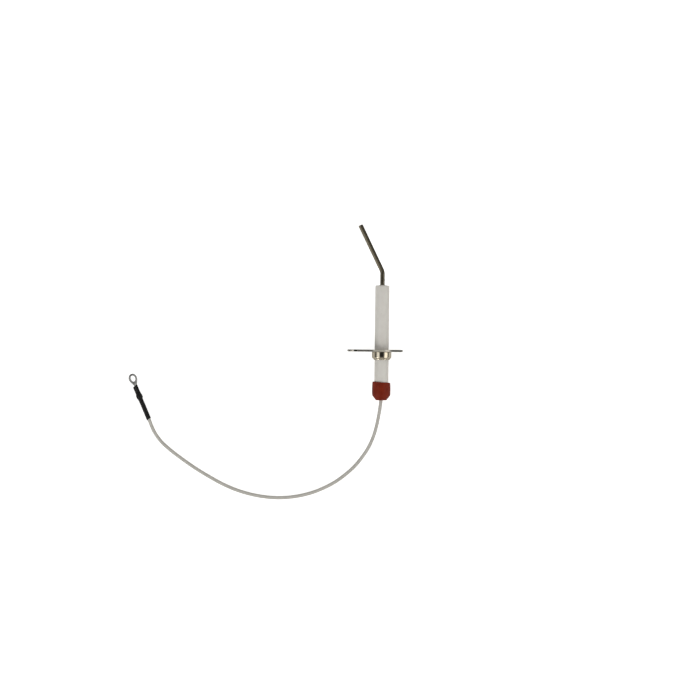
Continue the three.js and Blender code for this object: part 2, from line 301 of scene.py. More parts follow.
def on_slopes(here, after):
    """For divided: five points on each long slanting stretch."""
    slanted = abs(here[0] - after[0]) > 0.5 and abs(here[1] - after[1]) > 0.5
    return 5 if slanted else 0


def lathe_rings(section, segments, deform=None):
    """Rings about the probe's axis for a section of (radius, y) points."""
    rings = []
    for radius, y in section:
        ring = []
        for k in range(segments):
            angle = 2 * math.pi * k / segments
            r, along = deform(angle, radius, y) if deform else (radius, y)
            ring.append(Vector((r * math.sin(angle), along, AXIS_HEIGHT + r * math.cos(angle))))
        rings.append(ring)
    return rings


def loft(rings, wrap):
    """Joins rings of equal length. With wrap the last ring meets the first; without, both ends are capped."""
    count = len(rings[0])
    points = [p for ring in rings for p in ring]
    faces = []
    for i in range(len(rings) if wrap else len(rings) - 1):
        a, b = i * count, (i + 1) % len(rings) * count
        for k in range(count):
            n = (k + 1) % count
            faces.append((a + k, a + n, b + n, b + k))
    if not wrap:
        faces.append(tuple(range(count)))
        faces.append(tuple(range(len(points) - count, len(points))))
    return points, faces


def joined(*solids):
    """Several (points, faces) as one."""
    points, faces = [], []
    for more_points, more_faces in solids:
        faces += [tuple(i + len(points) for i in face) for face in more_faces]
        points += more_points
    return points, faces


def make_mesh(name, solid):
    """A mesh in metres from (points, faces) in millimetres."""
    points, faces = solid
    mesh = bpy.data.meshes.new(name)
    mesh.from_pydata([p * MM for p in points], [], faces)
    finish_mesh(mesh)
    return mesh


def lathed(name, section, segments, deform=None):
    """The mesh of a closed section of (radius, y) points turned about the probe's axis."""
    return make_mesh(name, loft(lathe_rings(section, segments, deform), wrap=True))


def finish_mesh(mesh, crease=math.radians(35)):
    """One clean skin with its faces pointing out, smooth but for its real edges."""
    cleaner = bmesh.new()
    cleaner.from_mesh(mesh)
    bmesh.ops.remove_doubles(cleaner, verts=cleaner.verts, dist=1e-7)
    bmesh.ops.recalc_face_normals(cleaner, faces=cleaner.faces)
    cleaner.to_mesh(mesh)
    cleaner.free()
    mesh.shade_smooth()
    mesh.set_sharp_from_angle(angle=crease)
    mesh.update()


def add_piece(name, mesh, material, slot, *nodes):
    """One visible piece on the part's body, in place of the nodes it stands for."""
    piece = bpy.data.objects.new(name, mesh)
    bpy.context.scene.collection.objects.link(piece)
    mesh.materials.clear()
    mesh.materials.append(material)
    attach(piece, BODY)
    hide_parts(*nodes)
    return piece


def resampled(points, spacing):
    """Points at an even spacing along a line of points."""
    lengths = [0.0]
    for a, b in zip(points, points[1:]):
        lengths.append(lengths[-1] + (b - a).length)
    count = max(2, round(lengths[-1] / spacing))
    even, span = [], 0
    for k in range(count + 1):
        wanted = lengths[-1] * k / count
        while span < len(points) - 2 and lengths[span + 1] < wanted:
            span += 1
        share = (wanted - lengths[span]) / (lengths[span + 1] - lengths[span])
        even.append(points[span].lerp(points[span + 1], min(1.0, share)))
    return even


def through(points, samples=12):
    """A centripetal Catmull-Rom curve through the points."""
    ends = [2 * points[0] - points[1], *points, 2 * points[-1] - points[-2]]
    line = []
    for p0, p1, p2, p3 in zip(ends, ends[1:], ends[2:], ends[3:]):
        t1 = (p1 - p0).length ** 0.5
        t2 = t1 + (p2 - p1).length ** 0.5
        t3 = t2 + (p3 - p2).length ** 0.5
        for k in range(samples):
            t = t1 + (t2 - t1) * k / samples
            a1 = p0.lerp(p1, t / t1)
            a2 = p1.lerp(p2, (t - t1) / (t2 - t1))
            a3 = p2.lerp(p3, (t - t2) / (t3 - t2))
            b1 = a1.lerp(a2, t / t2)
            b2 = a2.lerp(a3, (t - t1) / (t3 - t1))
            line.append(b1.lerp(b2, (t - t1) / (t2 - t1)))
    return [*line, points[-1]]


def carried_frames(centres, first_side):
    """(centre, side, up) along a line, with as little twist as the line allows."""
    side = first_side
    frames = []
    for i, centre in enumerate(centres):
        ahead = centres[min(i + 1, len(centres) - 1)] - centres[max(i - 1, 0)]
        ahead.normalize()
        side = (side - ahead * side.dot(ahead)).normalized()
        frames.append((centre, side, side.cross(ahead)))
    return frames


def swept_rings(frames, radius, sides, shift=None):
    """Circles along the frames. radius is a number or a function of (station, angle)."""
    rings = []
    for i, (centre, side, up) in enumerate(frames):
        middle = centre + (shift(i, side, up) if shift else Vector())
        ring = []
        for k in range(sides):
            angle = 2 * math.pi * k / sides
            r = radius(i, angle) if callable(radius) else radius
            ring.append(middle + (side * math.cos(angle) + up * math.sin(angle)) * r)
        rings.append(ring)
    return rings


def flat_part(outline, hole, thickness, bevel):
    """Sheet cut to an outline in millimetres with one hole, its edges softened. It lies in XY about z = 0."""
    curve = bpy.data.curves.new("outline", "CURVE")
    curve.dimensions = "2D"
    curve.fill_mode = "BOTH"
    curve.extrude = thickness / 2 - bevel
    curve.bevel_depth = bevel
    curve.bevel_resolution = 3
    curve.offset = -bevel
    for loop in (outline, hole):
        spline = curve.splines.new("POLY")
        spline.points.add(len(loop) - 1)
        for point, place in zip(spline.points, loop):
            point.co = (place[0], place[1], 0.0, 1.0)
        spline.use_cyclic_u = True
    holder = bpy.data.objects.new("outline", curve)
    bpy.context.scene.collection.objects.link(holder)
    ready = holder.evaluated_get(bpy.context.evaluated_depsgraph_get())
    mesh = bpy.data.meshes.new_from_object(ready)
    bpy.data.objects.remove(holder)
    bpy.data.curves.remove(curve)
    return mesh


def arc(centre, radius, start, end, steps):
    """Points along a flat arc from one angle to another."""
    return [
        Vector((centre[0] + radius * math.cos(a), centre[1] + radius * math.sin(a)))
        for a in (start + (end - start) * k / steps for k in range(steps + 1))
    ]


# ---------------------------------------------------------------- materials


def linear(red, green, blue):
    """An sRGB colour from 0 to 255 as the linear colour that a shader takes."""

    def channel(value):
        share = value / 255
        return share / 12.92 if value <= 10 else ((share + 0.055) / 1.055) ** 2.4

    return [channel(red), channel(green), channel(blue), 1.0]


def set_stops(ramp, stops):
    """Gives a colour ramp its (position, colour) stops, from the lowest up."""
    elements = ramp.color_ramp.elements
    while len(elements) < len(stops):
        elements.new(0.5)
    for element, (position, colour) in zip(elements, stops):
        element.position = position
        element.color = colour


class Finish:
    """One Principled material, built node by node on the object's own coordinates."""

    def __init__(self, name, **constants):
        self.material = bpy.data.materials.new(name)
        self.material.use_nodes = True
        self.tree = self.material.node_tree
        self.shader = self.tree.nodes["Principled BSDF"]
        own = self.tree.nodes.new("ShaderNodeTexCoord")
        self.place = own.outputs["Object"]
        self.normal = own.outputs["Normal"]
        self.height = None
        for socket, value in constants.items():
            self.shader.inputs[socket.replace("_", " ")].default_value = value

    def feed(self, socket, value):
        """Gives a socket a value, or links it to another node's output."""
        if isinstance(value, bpy.types.NodeSocket):
            self.tree.links.new(value, socket)
        else:
            socket.default_value = value

    def node(self, kind, **inputs):
        node = self.tree.nodes.new(kind)
        for name, value in inputs.items():
            self.feed(node.inputs[name.replace("_", " ")], value)
        return node

    def follow(self, attribute):
        """Takes each point's place from a mesh attribute instead of from the object."""
        stored = self.node("ShaderNodeAttribute")
        stored.attribute_name = attribute
        self.place = stored.outputs["Vector"]

    def noise(self, size_mm, detail=4.0, stretch=(1, 1, 1), rough=0.55):
        """Noise whose lumps are about size_mm across, and longer along an axis by its stretch."""
        scale = [1 / (size_mm * MM * s) for s in stretch]
        mapped = self.node("ShaderNodeMapping", Vector=self.place, Scale=scale)
        found = self.node(
            "ShaderNodeTexNoise",
            Vector=mapped.outputs["Vector"],
            Scale=1.0,
            Detail=detail,
            Roughness=rough,
        )
        return found.outputs["Fac"]

    def cells(self, size_mm):
        """Distance to the nearest of many scattered points, for pits and specks."""
        found = self.node("ShaderNodeTexVoronoi", Vector=self.place, Scale=1 / (size_mm * MM))
        return found.outputs["Distance"]

    def maths(self, operation, *values, kind="ShaderNodeMath"):
        """Arithmetic on numbers, or on vectors where the result is a number."""
        node = self.node(kind)
        node.operation = operation
        for socket, value in zip(node.inputs, values):
            self.feed(socket, value)
        return node.outputs["Value"]

    def square_to(self, direction):
        """1 where the surface is square to a direction, as a sheet's cut edge is, and 0 where it faces it."""
        facing = self.maths("DOT_PRODUCT", self.normal, direction, kind="ShaderNodeVectorMath")
        return self.spread(self.maths("ABSOLUTE", facing), 1.0, 0.0)

    def near(self, place, inner, outer):
        """1 within inner millimetres of a place and 0 beyond outer."""
        distance = self.maths("DISTANCE", self.place, Vector(place) * MM, kind="ShaderNodeVectorMath")
        return self.spread(distance, 1.0, 0.0, inner * MM, outer * MM)

    def ramp(self, factor, *stops):
        ramp = self.node("ShaderNodeValToRGB", Fac=factor)
        set_stops(ramp, stops)
        return ramp.outputs["Color"]

    def mix(self, factor, first, second):
        mixed = self.node("ShaderNodeMix", Factor=factor)
        mixed.data_type = "RGBA"
        for socket, value in zip([s for s in mixed.inputs if s.type == "RGBA"], (first, second)):
            self.feed(socket, value)
        return next(s for s in mixed.outputs if s.type == "RGBA")

    def spread(self, factor, low, high, start=0.3, end=0.7):
        """The factor's middle range, stretched from low to high."""
        spread = self.node("ShaderNodeMapRange", Value=factor)
        for socket, value in (("From Min", start), ("From Max", end), ("To Min", low), ("To Max", high)):
            spread.inputs[socket].default_value = value
        return spread.outputs["Result"]

    def colour(self, value):
        self.feed(self.shader.inputs["Base Color"], value)

    def roughness(self, factor, low, high):
        self.feed(self.shader.inputs["Roughness"], self.spread(factor, low, high))

    def relief(self, factor, depth_mm):
        """Bumps of that depth, on top of any that were added before."""
        bump = self.node("ShaderNodeBump", Height=factor, Strength=1.0, Distance=depth_mm * MM)
        if self.height:
            self.feed(bump.inputs["Normal"], self.height)
        self.height = bump.outputs["Normal"]
        self.feed(self.shader.inputs["Normal"], self.height)


def ceramic_finish():
    """Unglazed dense ceramic, with a few dark specks."""
    finish = Finish("ceramic", Specular_IOR_Level=0.5, Coat_Weight=0.0)
    clouds = finish.noise(9.0, 3.0)
    base = finish.ramp(clouds, (0.35, linear(240, 236, 228)), (0.65, linear(246, 243, 235)))
    specks = finish.ramp(finish.cells(2.6), (0.035, WHITE), (0.06, BLACK))
    finish.colour(finish.mix(specks, base, linear(188, 181, 168)))
    finish.roughness(finish.noise(3.0), 0.30, 0.48)
    finish.relief(finish.noise(0.35, 5.0), 0.012)
    finish.relief(finish.noise(6.0, 2.0), 0.05)
    return finish.material


def cement_finish():
    """Rough matte cement."""
    finish = Finish("cement", Specular_IOR_Level=0.3)
    grain = finish.noise(0.5, 6.0)
    finish.colour(finish.ramp(grain, (0.3, linear(176, 170, 158)), (0.7, linear(222, 218, 208))))
    finish.roughness(grain, 0.75, 0.95)
    finish.relief(grain, 0.12)
    return finish.material


def painted_side_light(finish, base):
    """Painted light and shade: beyond the rod's bend, its left side is painted paler and its right side
    darker.
    """
    place = finish.node("ShaderNodeSeparateXYZ", Vector=finish.place)
    across = place.outputs["X"]
    bend = BEND_Y - ROD_LEAD_END
    beyond_bend = finish.spread(place.outputs["Y"], 0.0, 1.0, (bend - 1.0) * MM, (bend + 3.0) * MM)
    pale = finish.maths("MULTIPLY", beyond_bend, finish.spread(across, 1.0, 0.0, -0.8 * MM, 0.15 * MM))
    dark = finish.maths("MULTIPLY", beyond_bend, finish.spread(across, 0.0, 1.0, 0.0, 0.9 * MM))
    # Painted highlight on the left side and painted shade on the right side of the bent part.
    base = finish.mix(pale, base, linear(158, 149, 128))
    return finish.mix(dark, base, linear(72, 66, 50))


def electrode_finish():
    """Drawn wire, with patches of oxide, fine streaks along it, and painted light and shade on the sides of
    its bent part.
    """
    finish = Finish("electrode", Metallic=1.0, Specular_Tint=(0.35, 0.32, 0.28, 1.0))
    finish.follow(UNBENT)
    patches = finish.noise(2.2, 5.0, (1, 2.5, 1))
    oxide = finish.ramp(
        patches,
        (0.3, linear(84, 79, 67)),
        (0.5, linear(106, 100, 86)),
        (0.7, linear(126, 119, 102)),
    )
    drawn = finish.noise(0.16, 3.0, (1, 14, 1))
    streaks = finish.ramp(drawn, (0.42, BLACK), (0.62, WHITE))
    finish.colour(painted_side_light(finish, finish.mix(streaks, oxide, linear(98, 92, 78))))
    finish.roughness(patches, 0.24, 0.38)
    finish.relief(drawn, 0.02)
    finish.relief(finish.noise(0.7, 4.0), 0.02)
    return finish.material


def plate_finish():
    """Sheared plated sheet, with painted highlights and a painted shade on its cut edges."""
    finish = Finish("plate", Metallic=1.0)
    clouds = finish.noise(5.0, 4.0)
    base = finish.ramp(clouds, (0.3, linear(160, 157, 148)), (0.7, linear(186, 183, 174)))
    cut_edge = finish.square_to((0.0, 1.0, 0.0))
    rough = finish.spread(finish.noise(1.4, 5.0), 0.28, 0.46)
    # Each spot paints a highlight or a shade onto the cut edge, as a colour and a roughness.
    for place, inner, outer, painted_colour, spot_roughness in PAINTED_EDGE_LIGHT:
        mark = finish.maths("MULTIPLY", cut_edge, finish.near(place, inner, outer))
        base = finish.mix(mark, base, linear(*painted_colour))
        rough = finish.maths("MAXIMUM", rough, finish.maths("MULTIPLY", mark, spot_roughness))
    finish.colour(base)
    finish.feed(finish.shader.inputs["Roughness"], rough)
    shear = finish.noise(0.22, 3.0, (1, 9, 1))
    finish.relief(shear, 0.015)
    return finish.material


def collar_finish():
    """Bright nickel plate."""
    finish = Finish("collar", Metallic=1.0)
    clouds = finish.noise(3.0, 3.0)
    finish.colour(finish.ramp(clouds, (0.3, linear(200, 190, 168)), (0.7, linear(213, 203, 182))))
    finish.roughness(finish.noise(1.2, 4.0), 0.07, 0.16)
    finish.relief(finish.noise(1.8, 3.0), 0.03)
    return finish.material


def silicone_finish():
    """Dark red silicone rubber, with a faint pale bloom."""
    finish = Finish("silicone", Specular_IOR_Level=0.16)
    clouds = finish.noise(5.0, 4.0)
    base = finish.ramp(clouds, (0.3, linear(122, 34, 14)), (0.7, linear(143, 43, 18)))
    bloom = finish.ramp(finish.noise(0.8, 6.0), (0.55, BLACK), (0.8, (0.35, 0.35, 0.35, 1)))
    finish.colour(finish.mix(bloom, base, linear(150, 68, 44)))
    finish.roughness(finish.noise(1.6, 5.0), 0.42, 0.62)
    finish.relief(finish.noise(0.4, 4.0), 0.02)
    return finish.material


def insulation_finish():
    """Pale silicone jacket, with a little grime."""
    finish = Finish("insulation", Specular_IOR_Level=0.4)
    clouds = finish.noise(12.0, 4.0)
    base = finish.ramp(clouds, (0.35, linear(206, 203, 195)), (0.65, linear(216, 213, 205)))
    grime = finish.ramp(finish.noise(3.0, 6.0), (0.56, BLACK), (0.8, (0.6, 0.6, 0.6, 1)))
    finish.colour(finish.mix(grime, base, linear(178, 174, 162)))
    finish.roughness(finish.noise(2.0, 5.0), 0.38, 0.56)
    finish.relief(finish.noise(0.5, 4.0), 0.012)
    return finish.material


def shrink_finish():
    """Black heat-shrink tubing."""
    finish = Finish("shrink", Specular_IOR_Level=0.22)
    clouds = finish.noise(2.5, 4.0)
    finish.colour(finish.ramp(clouds, (0.3, linear(15, 15, 16)), (0.7, linear(30, 30, 28))))
    finish.roughness(finish.noise(1.0, 5.0), 0.36, 0.6)
    finish.relief(finish.noise(0.6, 4.0), 0.03)
    return finish.material


def tinned(name, dark, light, low, high):
    """Dull bare metal between two shades, its roughness between low and high."""
    finish = Finish(name, Metallic=1.0)
    clouds = finish.noise(1.3, 5.0)
    finish.colour(finish.ramp(clouds, (0.3, linear(*dark)), (0.7, linear(*light))))
    finish.roughness(finish.noise(0.8, 5.0), low, high)
    finish.relief(finish.noise(0.3, 4.0), 0.012)
    return finish.material


def copper_finish():
    """Bare copper strands."""
    finish = Finish("copper", Metallic=1.0)
    clouds = finish.noise(1.5, 4.0)
    finish.colour(finish.ramp(clouds, (0.3, linear(176, 108, 74)), (0.7, linear(210, 142, 104))))
    finish.roughness(clouds, 0.25, 0.42)
    finish.relief(finish.noise(0.2, 3.0), 0.005)
    return finish.material


def gasket_finish():
    """Fibrous mineral packing."""
    finish = Finish("gasket", Specular_IOR_Level=0.3)
    fibres = finish.noise(0.25, 6.0, (1, 3, 1))
    finish.colour(finish.ramp(fibres, (0.3, linear(78, 76, 72)), (0.7, linear(118, 114, 106))))
    finish.roughness(fibres, 0.8, 0.98)
    finish.relief(fibres, 0.06)
    return finish.material


def floor_finish():
    """Pale paper. It glows to the camera as a light table does, so that shadows on it stay faint."""
    finish = Finish("floor", Roughness=0.9, Specular_IOR_Level=0.1)
    paper = finish.noise(60.0, 3.0)
    finish.colour(finish.ramp(paper, (0.3, linear(241, 241, 240)), (0.7, linear(244, 244, 243))))
    seen = finish.node("ShaderNodeLightPath").outputs["Is Camera Ray"]
    finish.shader.inputs["Emission Color"].default_value = (1.0, 1.0, 0.995, 1.0)
    glow = finish.spread(seen, FLOOR_GLOW_CAST, FLOOR_GLOW_SEEN, 0.0, 1.0)
    finish.feed(finish.shader.inputs["Emission Strength"], glow)
    return finish.material


# ---------------------------------------------------------------- lead


def along_sleeve(distance):
    """The place that far along the sleeve's axis from its lead end."""
    direction = Vector((-math.sin(SLEEVE_TURN), math.cos(SLEEVE_TURN), 0.0))
    return SLEEVE_START + direction * distance


def lead_line(start, end, spacing):
    """The lead's centre line, with a start inside the boot and an end inside the sleeve."""
    route = [Vector(p) for p in LEAD_ROUTE]
    points = [*start, *route, along_sleeve(0.0), *end]
    return resampled(through(points), spacing)


def add_lead(material):
    """The hollow jacket, from inside the boot to just short of the crimp barrel."""
    sides = 20
    centres = lead_line([LEAD_START], [along_sleeve(LEAD_END_IN_SLEEVE)], LEAD_SPACING)
    frames = carried_frames(centres, Vector((1, 0, 0)))

    def skin(station, angle):
        place = centres[station] + Vector((math.cos(angle), math.sin(angle), 0))
        return LEAD_RADIUS + 0.015 * ripple(place, 4.0)

    outside = swept_rings(frames, skin, sides)
    inside = swept_rings(frames, LEAD_BORE, sides)
    mesh = make_mesh("lead_jacket", loft([*outside, *reversed(inside)], wrap=True))
    lead = add_piece("lead_jacket", mesh, material, "insulation", "lead_insulation")
    return lead, [c * MM for c in centres]


def add_conductor(material):
    """Seven twisted strands through the jacket, from the splice ferrule into the crimp barrel."""
    start = [CONDUCTOR_START, LEAD_START]
    end = [along_sleeve(LEAD_END_IN_SLEEVE), along_sleeve(CONDUCTOR_END)]
    centres = lead_line(start, end, LEAD_SPACING)
    frames = carried_frames(centres, Vector((1, 0, 0)))
    spacing = (centres[1] - centres[0]).length

    def twisted(turn):
        def shift(station, side, up):
            angle = turn + 2 * math.pi * station * spacing / STRAND_PITCH
            return (side * math.cos(angle) + up * math.sin(angle)) * STRAND_SPREAD

        return shift

    strands = [loft(swept_rings(frames, STRAND_RADIUS, 6), wrap=False)]
    for k in range(6):
        rings = swept_rings(frames, STRAND_RADIUS, 6, twisted(k * math.pi / 3))
        strands.append(loft(rings, wrap=False))
    mesh = make_mesh("conductor_strands", joined(*strands))
    return add_piece("conductor_strands", mesh, material, "copper", "lead_conductor")


# ---------------------------------------------------------------- terminal end


def terminal_matrix():
    """From the sleeve's own frame, with Y along it, to the part's."""
    place = Matrix.Translation(SLEEVE_START * MM)
    return place @ Matrix.Rotation(SLEEVE_TURN, 4, "Z")


def sleeve_radius(distance):
    """Shrunk tight over the lead, swollen over the crimp barrel, closer again over the neck."""
    swell = smooth_step(*SLEEVE_SWELLS, distance)
    close = smooth_step(*SLEEVE_CLOSES, distance)
    settled = SLEEVE_BULGE_RADIUS + (SLEEVE_NECK_RADIUS - SLEEVE_BULGE_RADIUS) * close
    return SLEEVE_RADIUS + (settled - SLEEVE_RADIUS) * swell


def sleeve_ring(distance, inset):
    """One turn of the sleeve. It was cut and has shrunk a little askew, and lies flatter over the tongue."""
    sides = 40
    flat = smooth_step(*SLEEVE_FLATTENS, distance)
    lean = 0.7 * smooth_step(15.0, 16.5, distance) * (1 - smooth_step(18.5, 20.0, distance))
    ring = []
    for k in range(sides):
        angle = 2 * math.pi * k / sides
        across, above = math.cos(angle), math.sin(angle)
        r = sleeve_radius(distance + lean * across)
        r += 0.03 * ripple((3 * across, distance, 3 * above), 1.5, 4.0)
        wide = r * (1 + SLEEVE_WIDENED * flat) - inset
        thick = r * (1 - SLEEVE_THINNED * flat) - inset
        ring.append(Vector((wide * across, distance + SLEEVE_ASKEW * wide * across, thick * above)))
    roll = Matrix.Rotation(TERMINAL_ROLL, 3, "Y")
    return [roll @ p for p in ring]


def add_sleeve(material):
    """The black sleeve, from the end of the lead to the neck of the terminal."""
    wall = 0.3
    steps = 96
    edge = 0.1
    rolled = wall * 0.35
    middle = [sleeve_ring(SLEEVE_LENGTH * k / steps, 0.0) for k in range(1, steps)]
    lining = [sleeve_ring(SLEEVE_LENGTH * k / steps, wall) for k in range(steps + 1)]
    first = [sleeve_ring(0.0, rolled), sleeve_ring(edge, 0.0)]
    last = [sleeve_ring(SLEEVE_LENGTH - edge, 0.0), sleeve_ring(SLEEVE_LENGTH, rolled)]
    mesh = make_mesh("shrink_sleeve", loft([*first, *middle, *last, *reversed(lining)], wrap=True))
    mesh.transform(terminal_matrix())
    return add_piece("shrink_sleeve", mesh, material, "shrink", "heat_shrink_sleeve")


def tangent_angle(point, side):
    """Where round the ring a straight line from the point touches it, on the side that 1 or -1 says."""
    offset = point - RING_CENTRE
    reach = math.acos(RING_RADIUS / offset.length)
    return math.atan2(offset.y, offset.x) + side * reach


def union(first, second):
    """One skin round two overlapping meshes."""
    holders = [bpy.data.objects.new("union", mesh) for mesh in (first, second)]
    for holder in holders:
        bpy.context.scene.collection.objects.link(holder)
    modifier = holders[0].modifiers.new("union", "BOOLEAN")
    modifier.operation = "UNION"
    modifier.solver = "EXACT"
    modifier.object = holders[1]
    ready = holders[0].evaluated_get(bpy.context.evaluated_depsgraph_get())
    mesh = bpy.data.meshes.new_from_object(ready)
    for holder in holders:
        bpy.data.objects.remove(holder)
    return mesh


def add_terminal(material):
    """The stamped ring and tongue, joined to the crimp barrel."""
    start = tangent_angle(NECK_RIGHT, 1)
    end = tangent_angle(NECK_LEFT, -1) % (2 * math.pi)
    outline = [
        Vector((NECK_LEFT.x, TONGUE_START)),
        Vector((NECK_RIGHT.x, TONGUE_START)),
        NECK_RIGHT,
        *arc(RING_CENTRE, RING_RADIUS, start, end, 56),
        NECK_LEFT,
    ]
    hole = arc(RING_CENTRE, RING_HOLE_RADIUS, 0, 2 * math.pi, 56)[:-1]
    tongue = flat_part(outline, hole, TERMINAL_THICKNESS, 0.12)
    finish_mesh(tongue)

    barrel_section = rounded(
        [
            (BARREL_BORE, BARREL_START, 0.08),
            (BARREL_RADIUS, BARREL_START, 0.15),
            (BARREL_RADIUS, BARREL_END, 0.15),
            (BARREL_BORE, BARREL_END, 0.08),
        ]
    )

    def pressed(angle, radius, y):
        dent = BARREL_DENT * hump(y, BARREL_DENT_MIDDLE, 0.7) * max(0.0, math.cos(angle)) ** 4
        outside = radius > (BARREL_BORE + BARREL_RADIUS) / 2
        return radius - (dent if outside else 0.0), y

    points, faces = loft(lathe_rings(barrel_section, 48, pressed), wrap=True)
    points = [p - Vector((0, 0, AXIS_HEIGHT)) for p in points]
    barrel = bpy.data.meshes.new("barrel")
    barrel.from_pydata(points, [], faces)
    finish_mesh(barrel)

    mesh = union(tongue, barrel)
    mesh.name = "ring_terminal_stamping"
    mesh.transform(terminal_matrix() @ Matrix.Rotation(TERMINAL_ROLL, 4, "Y") @ Matrix.Scale(MM, 4))
    finish_mesh(mesh)
    return add_piece("ring_terminal_stamping", mesh, material, "terminal", "ring_terminal")


# ---------------------------------------------------------------- probe


def bent_direction():
    """The bent part's direction: it leans down until the tip's lower rim touches the floor."""
    drop = AXIS_HEIGHT - ROD_RADIUS
    # How far the rod drops and how far its tip tilts depend on each other, and a few rounds settle both.
    rounds = 4
    for _ in range(rounds):
        drop = AXIS_HEIGHT - ROD_RADIUS * math.sqrt(1 - (drop / BENT_LENGTH) ** 2)
    across = math.sqrt((BENT_LENGTH * math.sin(BEND_ANGLE)) ** 2 - drop**2)
    return Vector((-across, BENT_LENGTH * math.cos(BEND_ANGLE), -drop)) / BENT_LENGTH


def rod_line():
    """Centre line: straight, an arc of the bend's radius, then straight to the tip."""
    ahead = Vector((0, 1, 0))
    bent = bent_direction()
    corner = Vector((0, BEND_Y, AXIS_HEIGHT))
    setback = BEND_RADIUS * math.tan(BEND_ANGLE / 2)
    inward = (bent - ahead * bent.dot(ahead)).normalized()
    centre = corner - ahead * setback + inward * BEND_RADIUS
    steps = 14
    spacing = 1.5
    bend = []
    for k in range(steps + 1):
        angle = BEND_ANGLE * k / steps
        bend.append(centre - inward * BEND_RADIUS * math.cos(angle) + ahead * BEND_RADIUS * math.sin(angle))
    start = Vector((0, ROD_LEAD_END, AXIS_HEIGHT))
    tip = corner + bent * BENT_LENGTH
    straight = resampled([start, bend[0]], spacing)
    slanted = resampled([bend[-1], tip], spacing)
    return straight[:-1] + bend + slanted[1:]


def store_unbent(mesh, rings):
    """Stores where each point would be if the rod were straight, so that its finish follows the bend."""
    places = []
    along = 0.0
    previous = None
    for ring in rings:
        centre = sum(ring, Vector()) / len(ring)
        along += (centre - previous).length if previous else 0.0
        previous = centre
        for k, point in enumerate(ring):
            angle = 2 * math.pi * k / len(ring)
            reach = (point - centre).length
            places += [reach * math.cos(angle), along, reach * math.sin(angle)]
    stored = mesh.attributes.new(UNBENT, "FLOAT_VECTOR", "POINT")
    stored.data.foreach_set("vector", [c * MM for c in places])


def add_rod(material):
    """The drawn rod: sawn square at both ends with a fine burr-free chamfer."""
    sides = 36
    chamfer = 0.12
    centres = rod_line()
    frames = carried_frames(centres, Vector((1, 0, 0)))

    def skin(station, angle):
        thinned = 0.03 * hump(centres[station].y, BEND_Y, 3.0)
        return ROD_RADIUS - thinned + 0.008 * ripple(centres[station], 3.0)

    rings = swept_rings(frames, skin, sides)
    for end, beyond in ((0, 1), (-1, -2)):
        centre = centres[end]
        inner = [centre + (p - centre) * (1 - chamfer / ROD_RADIUS) for p in rings[end]]
        step = (centres[beyond] - centre).normalized() * chamfer
        outer = [p + step for p in rings[end]]
        rings[end] = outer
        rings.insert(0 if end == 0 else len(rings), inner)
    mesh = make_mesh("bent_rod", loft(rings, wrap=False))
    store_unbent(mesh, rings)
    return add_piece("bent_rod", mesh, material, "electrode", "electrode_rod")


def add_ceramic(material):
    """The insulator, with its bore, and the pocket for the cement at the tip end."""
    section = rounded(
        [
            (CERAMIC_BORE, CERAMIC_LOW, 0.2),
            (CERAMIC_RADIUS, CERAMIC_LOW, 0.6),
            (CERAMIC_RADIUS, CERAMIC_HIGH, 0.75),
            (POCKET_RADIUS, CERAMIC_HIGH, 0.3),
            (POCKET_RADIUS, CERAMIC_HIGH - POCKET_DEPTH, 0.2),
            (CERAMIC_BORE, CERAMIC_HIGH - POCKET_DEPTH, 0.1),
        ],
        steps=7,
    )
    section = divided(section, on_wall(CERAMIC_RADIUS, 3.0))

    def pressed(angle, radius, y):
        return radius + 0.02 * ripple((4 * math.cos(angle), y, 4 * math.sin(angle)), 9.0, 1.0), y

    mesh = lathed("ceramic_insulator", section, 96, pressed)
    return add_piece("ceramic_insulator", mesh, material, "ceramic", "ceramic_tube")


def add_cement(material):
    """Cement in the pocket round the rod, heaped a little above the ceramic."""
    gap = 0.04
    inner = ROD_RADIUS + gap
    outer = POCKET_RADIUS - gap
    low = CERAMIC_HIGH - POCKET_DEPTH + 0.1
    section = rounded(
        [
            (inner, low, 0.1),
            (outer, low, 0.2),
            (outer, CERAMIC_HIGH - 0.1, 0.15),
            ((inner + outer) / 2, CERAMIC_HIGH + 0.3, 0.4),
            (inner, CERAMIC_HIGH + 0.35, 0.1),
        ]
    )

    def lumpy(angle, radius, y):
        share = smooth_step(CERAMIC_HIGH - 0.4, CERAMIC_HIGH, y)
        lump = 0.12 * ripple((3 * math.cos(angle), 3 * math.sin(angle), radius), 1.1, 6.0)
        return radius, y + share * lump

    mesh = lathed("tip_cement", section, 64, lumpy)
    return add_piece("tip_cement", mesh, material, "cement", "cement_fillet")


